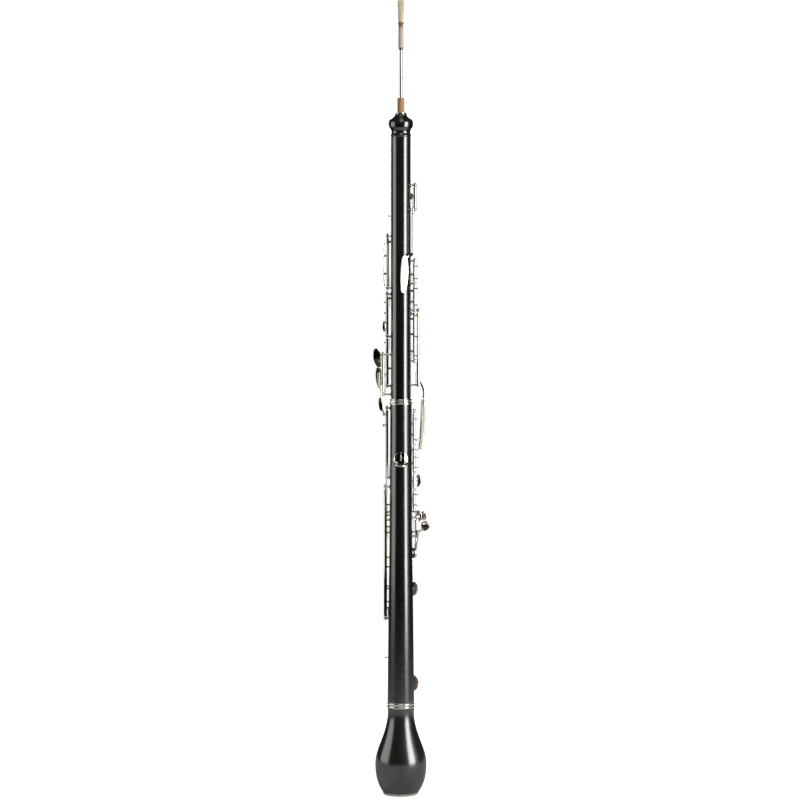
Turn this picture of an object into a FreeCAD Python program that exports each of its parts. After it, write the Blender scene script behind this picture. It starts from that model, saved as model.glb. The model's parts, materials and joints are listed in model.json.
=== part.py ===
import FreeCAD, Part
import math
import os

# Cor anglais: the alto oboe in F, with a pear-shaped bell, a bent crook and a double reed.
#
# Frame: +Z up the bore, origin at the centre of the bell's mouth. +Y is the front, where the
# finger plates are, -Y the back, where the thumbs go, and +X the player's right.
# Sizes are millimetres. Angles round the bore are degrees from +X towards +Y.

V = FreeCAD.Vector
UP = V(0, 0, 1)

# ---- driving sizes -------------------------------------------------------------------------
BODY_TOP = 800.0          # top of the finial, which is the height without crook and reed
MID_JOINT = 465.5         # face where the upper joint meets the lower joint
BELL_JOINT = 106.8        # face where the lower joint meets the bell
UPPER_R_TOP = 11.5        # outer radius of the upper joint under its finial
UPPER_R_BOTTOM = 11.8
LOWER_R_TOP = 12.7
LOWER_R_BOTTOM = 15.9
LOWER_FLARE = 1.6         # power of the lower joint's outward curve
BELL_R = 30.3             # widest outer radius of the bell
MOUTH_R = 14.5            # bell mouth
MOUTH_DEPTH = 7.0         # straight length of the mouth's wall
RIM_R = 21.0              # outer radius of the rim ring that the bell stands on
TENON_LENGTH = 22.0
SOCKET_GAP = 0.05         # radial room between a tenon and its socket
BOCAL_LEAN = 18.0         # degrees that the crook bends back towards the player
CORK_R = 4.0

ROD_R = 1.0               # steel hinge rod
ROD_ROOM = 0.05           # radial running room of a key tube on its rod
TUBE_R = 1.85             # key tube
POST_STEM_R = 1.15
POST_BALL_R = 2.35
POST_BASE_R = 2.5
POST_SHANK_R = 1.2
POST_SHANK_DEPTH = 2.3
END_GAP = 0.15            # play between a tube's end and the post beside it

SEAT_RISE = 1.0           # tone hole seat above the wood
PAD_GAP = 0.15            # space left under a closed pad
PAD_T = 2.1
CUP_SKIRT = 0.95          # bottom of the cup's skirt above the seat
CUP_TOP = 3.3             # rim of the cup above the seat
ARM_RADIAL = 0.85         # half thickness of an arm
ARM_WIDE = 1.35           # half width of an arm
OPEN_LIFT = 2.3           # how far an open pad stands off its seat


# ---- small helpers -------------------------------------------------------------------------
def polar(angle, radius, z=0.0):
    a = math.radians(angle)
    return V(radius * math.cos(a), radius * math.sin(a), z)


def upper_r(z):
    share = (z - MID_JOINT) / (BODY_TOP - MID_JOINT)
    return UPPER_R_BOTTOM + share * (UPPER_R_TOP - UPPER_R_BOTTOM)


def lower_r(z):
    share = max(0.0, (MID_JOINT - 10.0 - z) / (MID_JOINT - 10.0 - BELL_JOINT))
    return LOWER_R_TOP + (LOWER_R_BOTTOM - LOWER_R_TOP) * share ** LOWER_FLARE


def wood_r(z):
    return upper_r(z) if z > MID_JOINT else lower_r(z)


def spline(points):
    curve = Part.BSplineCurve()
    curve.interpolate([V(r, 0, z) for r, z in points])
    return curve.toShape()


def line(a, b):
    return Part.makeLine(V(a[0], 0, a[1]), V(b[0], 0, b[1]))


def arc(a, b, c):
    return Part.Arc(*[V(r, 0, z) for r, z in (a, b, c)]).toShape()


def cap_arc(edge, apex_z):
    """Arc from an edge point to the axis, round a centre on the axis, so it turns into a ball's cap."""
    r, z = edge
    rise = apex_z - z
    big = (r * r + rise * rise) / (2 * abs(rise))
    way = 1 if rise > 0 else -1
    middle = (r / 2, apex_z - way * (big - math.sqrt(big * big - r * r / 4)))
    return arc(edge, middle, (0, apex_z))


def turned(edges):
    """Solid of revolution about Z from edges in the XZ plane that close on themselves."""
    face = Part.Face(Part.Wire(Part.__sortEdges__(edges)))
    return face.revolve(V(0, 0, 0), UP, 360)


def turned_polygon(points):
    corners = [V(r, 0, z) for r, z in points]
    return Part.Face(Part.makePolygon(corners + corners[:1])).revolve(V(0, 0, 0), UP, 360)


def cylinder(radius, start, end):
    axis = end - start
    return Part.makeCylinder(radius, axis.Length, start, axis)


def ball(radius, centre):
    return Part.makeSphere(radius, centre)


def joined(shapes):
    """One clean solid from shapes that overlap."""
    whole = shapes[0].fuse(shapes[1:]) if len(shapes) > 1 else shapes[0]
    return whole.removeSplitter()


def placed(shape, origin, along, across):
    """Moves a shape made at the origin so that its +Z points along and its +X lies towards across."""
    z = V(along).normalize()
    x = V(across) - z * z.dot(V(across))
    x.normalize()
    y = z.cross(x)
    turn = FreeCAD.Rotation(x, y, z, "ZXY")
    moved = shape.copy()
    moved.Placement = FreeCAD.Placement(origin, turn).multiply(moved.Placement)
    return moved


def swept_arm(poles, radial=ARM_RADIAL, wide=ARM_WIDE):
    """Arm of oval section, bent as one arc that leans towards its middle poles.

    The oval's wide way lies as near to Z as it can.
    """
    start, end = poles[0], poles[-1]
    inner = poles[1:-1]
    lean = V(0, 0, 0)
    for pole in inner:
        lean += pole * (1.0 / len(inner))
    share = 0.5 if len(inner) == 1 else 0.75
    middle = (start + end) * (0.5 * (1 - share)) + lean * share
    edge = Part.Arc(start, middle, end).toShape()
    tangent = edge.tangentAt(edge.FirstParameter)
    side = UP if abs(tangent.z) < 0.9 else V(1, 0, 0)
    oval = Part.Face(Part.Wire(Part.Ellipse(V(0, 0, 0), wide, radial).toShape()))
    section = placed(oval, start, tangent, side)
    turn = math.degrees(edge.LastParameter - edge.FirstParameter)
    return section.revolve(edge.Curve.Center, edge.Curve.Axis, turn)


def bar(start, end, radius):
    """Round bar with ball ends."""
    return joined([cylinder(radius, start, end), ball(radius * 1.04, start), ball(radius * 1.04, end)])


def leaf_outline(length, width):
    """Closed oval in the XZ plane, of two wide side arcs that run smoothly into two small end arcs."""
    half, tip = width / 2, width * 0.34
    tip_z = length / 2 - tip
    side = (half * half + tip_z * tip_z - tip * tip) / (2 * (half - tip))
    across = (side - half) * tip / (side - tip)
    along = tip_z + tip_z * tip / (side - tip)
    right = Part.Arc(V(across, 0, -along), V(half, 0, 0), V(across, 0, along)).toShape()
    top = Part.Arc(V(across, 0, along), V(0, 0, length / 2), V(-across, 0, along)).toShape()
    left = Part.Arc(V(-across, 0, along), V(-half, 0, 0), V(-across, 0, -along)).toShape()
    foot = Part.Arc(V(-across, 0, -along), V(0, 0, -length / 2), V(across, 0, -along)).toShape()
    return Part.Wire([right, top, left, foot])


def leaf(length, width, thickness, bow):
    """Finger touch: an oval plate along Z, facing +Y, bowed along its length with a soft edge."""
    half_t = thickness / 2
    corners = [V(-width, -half_t, 0), V(width, -half_t, 0), V(width, half_t, 0), V(-width, half_t, 0)]
    sheet = Part.Face(Part.makePolygon(corners + corners[:1]))
    reach = math.degrees(length * 0.6 / bow)
    sheet.rotate(V(0, -bow, 0), V(1, 0, 0), -reach)
    slab = sheet.revolve(V(0, -bow, 0), V(1, 0, 0), 2 * reach)
    prism = Part.Face(leaf_outline(length, width)).extrude(V(0, bow, 0))
    prism.translate(V(0, -bow / 2, 0))
    plate = slab.common(prism)
    rims = [e for e in plate.Edges if e.Length > thickness * 1.2]
    return plate.makeFillet(thickness * 0.4, rims)


# ---- wood ----------------------------------------------------------------------------------
def finial_outline():
    """Outer line of the finial from the bead under it to the top, as edges."""
    return [
        line((upper_r(773.4), 773.4), (11.9, 773.9)),
        arc((11.9, 773.9), (12.3, 774.7), (11.8, 775.5)),
        arc((11.8, 775.5), (11.0, 778.4), (12.0, 781.6)),
        line((12.0, 781.6), (13.6, 784.0)),
        arc((13.6, 784.0), (14.45, 788.8), (13.3, 793.2)),
        arc((13.3, 793.2), (9.2, 795.6), (6.9, 797.9)),
        arc((6.9, 797.9), (6.9, 799.4), (6.1, BODY_TOP)),
    ]


RECEIVER_R = 5.2
RECEIVER_DEPTH = 20.0
BORE_TOP_R = 2.7
BORE_MID_R = 4.6
BORE_BELL_R = 7.8
MID_TENON_R = 9.0
MID_CORK_R = 9.9
BELL_TENON_R = 11.6
BELL_CORK_R = 12.6
RING_SEAT = 3.4           # length of wood turned down under each tenon ring
RING_WALL = 1.0


def upper_joint():
    foot = MID_JOINT + 0.1
    tenon_end = foot - TENON_LENGTH
    seat_r = UPPER_R_BOTTOM - RING_WALL
    socket_floor = BODY_TOP - RECEIVER_DEPTH
    edges = finial_outline()
    edges += [
        line((6.1, BODY_TOP), (RECEIVER_R, BODY_TOP)),
        line((RECEIVER_R, BODY_TOP), (RECEIVER_R, socket_floor)),
        line((RECEIVER_R, socket_floor), (BORE_TOP_R, socket_floor)),
        line((BORE_TOP_R, socket_floor), (BORE_MID_R, tenon_end)),
        line((BORE_MID_R, tenon_end), (MID_TENON_R, tenon_end)),
        line((MID_TENON_R, tenon_end), (MID_TENON_R, foot)),
        line((MID_TENON_R, foot), (seat_r, foot)),
        line((seat_r, foot), (seat_r, foot + RING_SEAT)),
        line((seat_r, foot + RING_SEAT), (upper_r(foot + RING_SEAT), foot + RING_SEAT)),
        line((upper_r(foot + RING_SEAT), foot + RING_SEAT), (upper_r(773.4), 773.4)),
    ]
    return turned(edges)


def lower_joint():
    head = MID_JOINT - 0.1
    foot = BELL_JOINT + 0.1
    socket_floor = head - TENON_LENGTH - 0.6
    tenon_end = foot - TENON_LENGTH
    head_r = LOWER_R_TOP - RING_WALL
    foot_r = LOWER_R_BOTTOM - RING_WALL
    top = head - RING_SEAT
    low = foot + RING_SEAT
    steps = 8
    levels = [low + (top - low) * i / steps for i in range(steps + 1)]
    flank = [(lower_r(z), z) for z in levels]
    return turned([
        spline(flank),
        line(flank[-1], (head_r, top)),
        line((head_r, top), (head_r, head)),
        line((head_r, head), (MID_CORK_R + SOCKET_GAP, head)),
        line((MID_CORK_R + SOCKET_GAP, head), (MID_CORK_R + SOCKET_GAP, socket_floor)),
        line((MID_CORK_R + SOCKET_GAP, socket_floor), (BORE_MID_R, socket_floor)),
        line((BORE_MID_R, socket_floor), (BORE_BELL_R, tenon_end)),
        line((BORE_BELL_R, tenon_end), (BELL_TENON_R, tenon_end)),
        line((BELL_TENON_R, tenon_end), (BELL_TENON_R, foot)),
        line((BELL_TENON_R, foot), (foot_r, foot)),
        line((foot_r, foot), (foot_r, low)),
        line((foot_r, low), flank[0]),
    ])


RIM_RING_H = 3.0


def bell():
    head = BELL_JOINT - 0.1
    socket_floor = head - TENON_LENGTH - 0.6
    socket_r = BELL_CORK_R + SOCKET_GAP
    seat_r = LOWER_R_BOTTOM - RING_WALL
    top = head - RING_SEAT
    outer = [(LOWER_R_BOTTOM, top), (LOWER_R_BOTTOM + 0.1, 90.0), (19.4, 74.6), (23.6, 62.6),
             (27.9, 50.7), (BELL_R - 0.2, 40.0), (BELL_R, 34.0), (29.2, 21.9), (26.6, 12.5),
             (RIM_R + 0.6, RIM_RING_H)]
    inner = [(MOUTH_R, MOUTH_DEPTH), (18.4, 13.0), (22.4, 24.0), (23.4, 35.0), (21.6, 48.0), (16.0, 62.0),
             (10.6, 74.0), (BORE_BELL_R + 0.4, socket_floor)]
    rim_in = RIM_R - 3.2
    return turned([
        spline(outer),
        spline(inner),
        line(outer[0], (seat_r, top)),
        line((seat_r, top), (seat_r, head)),
        line((seat_r, head), (socket_r, head)),
        line((socket_r, head), (socket_r, socket_floor)),
        line((socket_r, socket_floor), inner[-1]),
        line(outer[-1], (rim_in, RIM_RING_H)),
        line((rim_in, RIM_RING_H), (rim_in, 0)),
        line((rim_in, 0), (MOUTH_R, 0)),
        line((MOUTH_R, 0), inner[0]),
    ])


def tenon_cork(core_r, cork_r, foot):
    low = foot - TENON_LENGTH + 1.5
    high = foot - 2.0
    shape = turned_polygon([(core_r, low), (cork_r - 0.4, low), (cork_r, low + 1.2), (cork_r, high - 0.6),
                            (cork_r - 0.4, high), (core_r, high)])
    return shape


def tenon_ring(inner_r, outer_r, low, high):
    """Turned metal ferrule with one bead round it."""
    bead = outer_r + 0.75
    middle = (low + high) / 2
    return turned([
        line((inner_r, low), (outer_r, low)),
        line((outer_r, low), (outer_r, low + 0.5)),
        arc((outer_r, low + 0.5), (bead, middle), (outer_r, high - 0.5)),
        line((outer_r, high - 0.5), (outer_r, high)),
        line((outer_r, high), (inner_r, high)),
        line((inner_r, high), (inner_r, low)),
    ])


def bell_rim_ring():
    inner = RIM_R - 3.17
    return turned([
        line((inner, 0), (RIM_R - 0.9, 0)),
        arc((RIM_R - 0.9, 0), (RIM_R - 0.2, 0.3), (RIM_R, 1.0)),
        line((RIM_R, 1.0), (RIM_R + 0.6, RIM_RING_H - 0.05)),
        line((RIM_R + 0.6, RIM_RING_H - 0.05), (inner, RIM_RING_H - 0.05)),
        line((inner, RIM_RING_H - 0.05), (inner, 0)),
    ])


def bocal_receiver():
    floor = BODY_TOP - RECEIVER_DEPTH
    return turned_polygon([(CORK_R + 0.05, floor + 0.1), (RECEIVER_R - 0.03, floor + 0.1),
                           (RECEIVER_R - 0.03, BODY_TOP), (5.9, BODY_TOP + 0.02), (5.9, BODY_TOP + 0.9),
                           (5.3, BODY_TOP + 1.3), (CORK_R + 0.05, BODY_TOP + 1.3)])


# ---- crook and reed ------------------------------------------------------------------------
CORK_FOOT = 782.0
CORK_HEAD = 818.0
BEND_START = 826.0
BEND_R = 70.0
BOCAL_R_LOW = 2.4
BOCAL_R_HIGH = 1.85
BOCAL_WALL = 0.55
REED_START = 27.0         # along the straight end of the crook, from the bend to the reed's foot
REED_LENGTH = 58.5
STAPLE_LENGTH = 27.0
STAPLE_R_LOW = 2.65
STAPLE_R_HIGH = 1.9
STAPLE_BARE = 3.4
STAPLE_ON_BOCAL = 13.0
THREAD_R = 2.95


def bend_end():
    a = math.radians(BOCAL_LEAN)
    return V(0, -BEND_R * (1 - math.cos(a)), BEND_START + BEND_R * math.sin(a))


def lean_axis():
    a = math.radians(BOCAL_LEAN)
    return V(0, -math.sin(a), math.cos(a))


def reed_foot():
    return bend_end() + lean_axis() * REED_START


def on_reed(shape):
    """Moves a shape made up +Z from the origin onto the reed's axis, foot at the reed's foot."""
    return placed(shape, reed_foot(), lean_axis(), V(1, 0, 0))


def cone(r1, r2, length, low=0.0):
    return Part.makeCone(r1, r2, length, V(0, 0, low), UP)


def bocal_pipe(low_r, high_r, from_z, past):
    """Tapered pipe along the crook's line, from from_z to past beyond the reed's foot."""
    a = math.radians(BOCAL_LEAN)
    middle = V(0, -BEND_R * (1 - math.cos(a / 2)), BEND_START + BEND_R * math.sin(a / 2))
    end = reed_foot() + lean_axis() * past
    path = Part.Wire([
        Part.makeLine(V(0, 0, from_z), V(0, 0, BEND_START)),
        Part.Arc(V(0, 0, BEND_START), middle, bend_end()).toShape(),
        Part.makeLine(bend_end(), end),
    ])
    foot = Part.Wire(Part.Circle(V(0, 0, from_z), UP, low_r).toShape())
    head = Part.Wire(Part.Circle(end, lean_axis(), high_r).toShape())
    return path.makePipeShell([foot, head], True, True)


def bocal_tube():
    solid = bocal_pipe(BOCAL_R_LOW, BOCAL_R_HIGH, CORK_FOOT - 1.0, STAPLE_ON_BOCAL)
    bore_low, bore_high = BOCAL_R_LOW - BOCAL_WALL, BOCAL_R_HIGH - BOCAL_WALL
    hollow = bocal_pipe(bore_low, bore_high, CORK_FOOT - 1.0, STAPLE_ON_BOCAL)
    return solid.cut(hollow)


def bocal_cork():
    low, high = CORK_FOOT, CORK_HEAD
    hole = BOCAL_R_LOW + 0.02
    return turned_polygon([(hole, low), (CORK_R - 0.4, low), (CORK_R, low + 1.5), (CORK_R, high - 0.7),
                           (CORK_R - 0.5, high), (hole, high)])


def reed_staple():
    outer = cone(STAPLE_R_LOW, STAPLE_R_HIGH, STAPLE_LENGTH)
    over_bocal = Part.makeCylinder(BOCAL_R_LOW - 0.3, STAPLE_ON_BOCAL + 0.3)
    bore = cone(1.75, 1.45, STAPLE_LENGTH - STAPLE_ON_BOCAL, STAPLE_ON_BOCAL)
    return on_reed(outer.cut(over_bocal).cut(bore))


def reed_thread():
    """The silk winding that ties the cane to the staple, as one tapered sleeve."""
    low, high = STAPLE_BARE, STAPLE_LENGTH
    taper = (STAPLE_R_LOW - STAPLE_R_HIGH) / STAPLE_LENGTH
    inner_low = STAPLE_R_LOW - taper * low + 0.03
    inner_high = STAPLE_R_LOW - taper * high + 0.03
    sleeve = turned_polygon([(inner_low, low), (THREAD_R - 0.25, low), (THREAD_R, low + 0.6),
                             (THREAD_R - 0.05, high - 6), (THREAD_R - 0.15, high), (inner_high, high)])
    return on_reed(sleeve)


def oval_wire(wide, thick, z):
    return Part.Wire(Part.Ellipse(V(0, 0, z), wide, thick).toShape())


def reed_blades():
    """Two cane blades, round at the thread and spreading flat to the tip."""
    foot = STAPLE_LENGTH + 0.05
    sections = [(2.75, 2.55, foot), (2.95, 2.2, 36.0), (3.4, 1.5, 47.0), (3.75, 0.75, REED_LENGTH)]
    outer = Part.makeLoft([oval_wire(w, t, z) for w, t, z in sections], True)
    past = {foot: -0.4, REED_LENGTH: 0.4}
    hollow = [oval_wire(w - 0.5, t - 0.45, z + past.get(z, 0)) for w, t, z in sections]
    inner = Part.makeLoft(hollow, True)
    slit = Part.makeBox(12, 0.12, 60, V(-6, -0.06, 20))
    return on_reed(outer.cut(inner).cut(slit))


def reed_wire():
    """Brass wire round the cane just above the thread."""
    loops = [Part.makeTorus(3.2, 0.22, V(0, 0, z)) for z in (31.0, 31.6)]
    return on_reed(joined(loops).cut(Part.makeCylinder(2.98, 8, V(0, 0, 27))))


# ---- posts and rods ------------------------------------------------------------------------
RODS = {
    # name: (angle round the bore, distance from its axis, heights of the posts from low to high)
    "octave": (-6.0, 16.4, [689.0, 717.0]),
    "side_octave": (150.0, 18.0, [597.0, 657.5]),
    "left_stack": (15.0, 16.4, [512.0, 571.5, 602.5, 629.0]),
    "trill": (15.0, 20.9, [484.0, 571.5]),
    "side": (165.0, 16.6, [483.0, 541.0, 590.5]),
    "pinky": (180.0, 21.0, [473.5, 520.0]),
    "right_stack": (27.0, 17.3, [336.5, 360.5, 381.0, 413.5, 453.0]),
    "e_flat": (8.0, 18.4, [306.5, 328.5]),
    "low": (158.0, 19.4, [228.0, 317.0, 343.0]),
    "b_link": (172.0, 16.5, [375.5, 457.0]),
    "low_b": (174.0, 18.2, [209.0, 364.5]),
}
SHARED_POST = 571.5       # height of the one tall post that carries both the trill and stack rods


def rod_axis(rod, z=0.0):
    angle, distance, _ = RODS[rod]
    return polar(angle, distance, z)


def post_solid(angle, distance, z, extra_ball=None):
    """Pillar with a conical foot, a turned stem and a ball head, on a shank that goes into the wood."""
    surface = wood_r(z)
    root = surface - POST_SHANK_DEPTH
    turned_post = turned([
        line((0, root), (POST_SHANK_R, root)),
        line((POST_SHANK_R, root), (POST_SHANK_R, surface - 0.55)),
        line((POST_SHANK_R, surface - 0.55), (POST_BASE_R, surface - 0.55)),
        line((POST_BASE_R, surface - 0.55), (POST_BASE_R, surface + 0.35)),
        arc((POST_BASE_R, surface + 0.35), (POST_STEM_R + 0.45, surface + 0.8),
            (POST_STEM_R, surface + 1.5)),
        line((POST_STEM_R, surface + 1.5), (POST_STEM_R, distance)),
        line((POST_STEM_R, distance), (0, distance)),
        line((0, distance), (0, root)),
    ])
    shapes = [turned_post, ball(POST_BALL_R, V(0, 0, distance))]
    if extra_ball:
        shapes.append(ball(POST_BALL_R, V(0, 0, extra_ball)))
    post = joined(shapes)
    return placed(post, V(0, 0, z), polar(angle, 1), UP)


def post_seat(angle, z):
    """What the wood loses for a post: a flat spot for its foot and a hole for its shank."""
    surface = wood_r(z)
    depth = surface - POST_SHANK_DEPTH - 0.1
    shank = Part.makeCylinder(POST_SHANK_R + 0.02, POST_SHANK_DEPTH + 0.1, V(0, 0, depth))
    spot = Part.makeCylinder(POST_BASE_R + 0.05, 3.0, V(0, 0, surface - 0.57))
    return placed(joined([shank, spot]), V(0, 0, z), polar(angle, 1), UP)


def pin_seat(angle, z, radius):
    """What the wood loses for a guide's or a pin's shank."""
    depth = wood_r(z) - POST_SHANK_DEPTH - 0.1
    return placed(Part.makeCylinder(radius + 0.02, 6.0, V(0, 0, depth)), V(0, 0, z), polar(angle, 1), UP)


def post_list():
    """(angle, distance, height, distance of a second ball or None) of every post."""
    found = []
    for rod, (angle, distance, heights) in RODS.items():
        for z in heights:
            if z == SHARED_POST and rod == "trill":
                continue
            if z == SHARED_POST:
                found.append((angle, RODS["trill"][1], z, distance))
            else:
                found.append((angle, distance, z, None))
    return found


def rod_hole(rod):
    heights = RODS[rod][2]
    return cylinder(ROD_R + 0.02, rod_axis(rod, heights[0] - 6), rod_axis(rod, heights[-1] + 6))


GUIDES = [("low_b", 331.0), ("low_b", 281.5), ("low_b", 247.5), ("low", 269.5)]
FORK_Z = 681.0            # fork that steadies the high octave key's long bar
FORK_SPREAD = 12.0        # degrees between the bar and each prong
STOP_PIN = (168.0, 162.0)


def guide_solid(rod, z):
    """Saddle on a stem, which cradles the middle of a long key tube without touching it."""
    angle, distance, _ = RODS[rod]
    surface = wood_r(z)
    stem = turned_polygon([(0, surface - POST_SHANK_DEPTH), (POST_SHANK_R, surface - POST_SHANK_DEPTH),
                           (POST_SHANK_R, surface), (0.85, surface + 0.9), (0.85, distance - 2.4),
                           (0, distance - 2.4)])
    saddle = Part.makeCylinder(3.0, 2.4, V(0, 0, 0), V(1, 0, 0))
    saddle.translate(V(-1.2, 0, distance))
    saddle = saddle.cut(Part.makeBox(4, 8, 4, V(-2, -4, distance + 0.4)))
    groove = Part.makeCylinder(TUBE_R + 0.35, 6, V(-3, 0, distance), V(1, 0, 0))
    guide = joined([stem, saddle]).cut(groove)
    return placed(guide, V(0, 0, z), polar(angle, 1), UP)


def prong(angle, z, reach, radius):
    """Plain pin from inside the wood out to a ball end."""
    root = polar(angle, wood_r(z) - POST_SHANK_DEPTH, z)
    tip = polar(angle, reach, z)
    return joined([cylinder(radius, root, tip), ball(radius * 1.5, tip)])


def pins(upper):
    """(angle, height, reach, radius) of the fork's prongs and of the low B arm's stop."""
    if upper:
        return [(125.0 + way * FORK_SPREAD, FORK_Z, 19.0, 0.75) for way in (-1, 1)]
    return [(*STOP_PIN, 18.4, 0.7)]


def posts(upper):
    cutters = [rod_hole(rod) for rod in RODS]
    cutters += [needle(spring, SPRING_R + 0.02) for spring in SPRINGS]
    made = []
    for angle, distance, z, extra in post_list():
        if (z > MID_JOINT) == upper:
            made.append(post_solid(angle, distance, z, extra).cut(Part.makeCompound(cutters)))
    made += [guide_solid(rod, z) for rod, z in GUIDES if (z > MID_JOINT) == upper]
    made += [prong(*pin) for pin in pins(upper)]
    return made


SPRING_R = 0.28
SPRING_DROP = 3.05        # how far a needle spring lies under its rod's axis
SPRING_LENGTH = 15.0
SPRINGS = [
    # (rod, height of the post it is fixed in, +1 if it points up and -1 if down)
    ("octave", 689.0, 1), ("side_octave", 597.0, 1), ("left_stack", 602.5, 1),
    ("left_stack", 571.5, 1), ("left_stack", 512.0, 1), ("trill", 484.0, 1),
    ("side", 590.5, -1), ("side", 541.0, -1), ("pinky", 473.5, 1),
    ("right_stack", 336.5, 1), ("right_stack", 381.0, -1), ("right_stack", 413.5, -1),
    ("right_stack", 453.0, -1), ("e_flat", 328.5, -1), ("low", 343.0, -1),
    ("low", 317.0, -1), ("b_link", 375.5, 1), ("low_b", 209.0, 1),
]


def needle(spring, radius):
    """Steel needle that leaves its post along the rod, under the key's tube."""
    rod, z, way = spring
    angle, distance, _ = RODS[rod]
    depth = distance - SPRING_DROP
    start = polar(angle, depth, z - way * 0.6)
    return cylinder(radius, start, polar(angle, depth, z + way * SPRING_LENGTH))


def springs(upper):
    return [needle(spring, SPRING_R) for spring in SPRINGS if (spring[1] > MID_JOINT) == upper]


def hinge_rod(rod):
    """Steel rod with a slotted screw head at its top end and a domed foot."""
    heights = RODS[rod][2]
    low, high = heights[0] - POST_BALL_R + 0.2, heights[-1] + POST_BALL_R
    head = Part.makeCylinder(1.45, 0.9, rod_axis(rod, high))
    shaft = Part.makeCylinder(ROD_R, high - low, rod_axis(rod, low))
    slot = Part.makeBox(4, 0.45, 1.0, rod_axis(rod, high + 0.45) - V(2, 0.22, 0))
    return joined([shaft, head]).cut(slot)


# ---- keys ----------------------------------------------------------------------------------
class Key:
    """A key on one rod. It is built with its pads shut, then swung to where it stands at rest.

    swing is the angle between rest and fully pressed. A key that stands open shuts when pressed.
    """

    def __init__(self, rod, tube, cups=(), stands_open=True, swing=None, pressed_way=0):
        self.rod = rod
        self.tube = tube
        self.cups = list(cups)
        self.stands_open = stands_open and bool(self.cups)
        self.shapes = [self.tube_solid()]
        self.pads = []
        self.cavities = []
        for item in self.cups:
            self.add_cup(**item)
        self.swing = swing if swing else self.lift_angle(OPEN_LIFT)
        self.pressed_way = pressed_way if pressed_way else self.press_sign()

    def tube_solid(self):
        low, high = self.tube
        pipe = Part.makeCylinder(TUBE_R, high - low, rod_axis(self.rod, low))
        collars = [Part.makeCylinder(TUBE_R + 0.35, 1.6, rod_axis(self.rod, z)) for z in (low, high - 1.6)]
        return joined([pipe] + collars)

    def add_cup(self, angle, z, radius, dished=False, bare=False):
        seat = wood_r(z) + SEAT_RISE
        where = (polar(angle, seat, z), polar(angle, 1), UP)
        self.shapes.append(placed(cup_shell(radius, dished), *where))
        self.pads.append(placed(pad_disc(radius), *where))
        self.cavities.append(placed(pad_room(radius), *where))
        if bare:
            return
        side = 1 if angle < RODS[self.rod][0] else -1
        if dished:
            end = polar(angle, seat + 2.2, z) + polar(angle + side * 90, radius - 0.5)
        else:
            end = polar(angle, seat + CUP_TOP + 0.25, z) + polar(angle - side * 90, 0.6)
        self.shapes.append(self.arm_to(end))

    def arm_to(self, end):
        """Arm round the wood from the tube to a point over a tone hole."""
        start = rod_axis(self.rod, end.z)
        middle = (start + end) * 0.5
        flat = V(middle.x, middle.y, 0)
        mean = (math.hypot(start.x, start.y) + math.hypot(end.x, end.y)) / 2
        bulge = V(flat).normalize() * (2 * mean - flat.Length)
        return swept_arm([start, V(bulge.x, bulge.y, middle.z), end])

    def lugs(self, *places):
        """Regulating lugs: a short arm from the tube at each (height, x, y), with a screw in its end."""
        for z, x, y in places:
            end = V(x, y, z)
            out = V(x, y, 0).normalize()
            self.shapes.append(bar(rod_axis(self.rod, z), end, 0.95))
            self.shapes.append(cylinder(0.75, end - out * 2.0, end + out * 1.7))
            self.shapes.append(cylinder(1.2, end + out * 1.0, end + out * 1.9))
        return self

    def add(self, *shapes):
        self.shapes.extend(shapes)
        return self

    def seat_arm(self):
        """Turning arm of the first pad: how far it lifts per radian turned anticlockwise from above."""
        first = self.cups[0]
        reach = polar(first["angle"], wood_r(first["z"]) + SEAT_RISE) - rod_axis(self.rod)
        return UP.cross(reach).dot(polar(first["angle"], 1))

    def lift_angle(self, lift):
        return math.degrees(lift / abs(self.seat_arm()))

    def press_sign(self):
        """+1 if pressing turns the key anticlockwise seen from above, -1 if clockwise."""
        lifts = 1 if self.seat_arm() > 0 else -1
        return -lifts if self.stands_open else lifts

    def at_rest(self, shape):
        if not self.stands_open:
            return shape
        moved = shape.copy()
        moved.rotate(rod_axis(self.rod), UP, -self.pressed_way * self.swing)
        return moved

    def metal(self):
        low, high = self.tube
        bore = Part.makeCylinder(ROD_R + ROD_ROOM, high - low + 2, rod_axis(self.rod, low - 1))
        return self.at_rest(joined(self.shapes).cut(Part.makeCompound([bore] + self.cavities)))

    def pad_solids(self):
        return [self.at_rest(pad) for pad in self.pads]


def pad_roof():
    return PAD_GAP + PAD_T + 0.03


def pad_room(radius):
    return Part.makeCylinder(radius - 0.45, pad_roof() + 3.0, V(0, 0, -3.0))


def cup_shell(radius, dished):
    """Pad cup open towards the tone hole. Finger plates are dished, other cups are domed."""
    shoulder = (radius - 0.75, CUP_TOP)
    crown = CUP_TOP - 0.35 if dished else CUP_TOP + 0.75
    inside = radius - 0.45
    roof = pad_roof()
    return turned([
        line((inside, CUP_SKIRT), (radius, CUP_SKIRT)),
        line((radius, CUP_SKIRT), (radius, CUP_TOP - 0.7)),
        arc((radius, CUP_TOP - 0.7), (radius - 0.2, CUP_TOP - 0.18), shoulder),
        cap_arc(shoulder, crown),
        line((0, crown), (0, roof)),
        line((0, roof), (inside, roof)),
        line((inside, roof), (inside, CUP_SKIRT)),
    ])


def pad_disc(radius):
    edge = radius - 0.5
    top = PAD_GAP + PAD_T
    return turned([
        line((0, PAD_GAP), (edge - 0.3, PAD_GAP)),
        arc((edge - 0.3, PAD_GAP), (edge - 0.09, PAD_GAP + 0.09), (edge, PAD_GAP + 0.3)),
        line((edge, PAD_GAP + 0.3), (edge, top)),
        line((edge, top), (0, top)),
        line((0, top), (0, PAD_GAP)),
    ])


def touch(centre, along, facing, length, width, thickness=1.7, bow=60.0):
    """Leaf touch with its middle at centre, its length along one way and its face turned another."""
    y = V(facing).normalize()
    z = V(along) - y * y.dot(V(along))
    z.normalize()
    return placed(leaf(length, width, thickness, bow), centre, z, y.cross(z))


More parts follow.
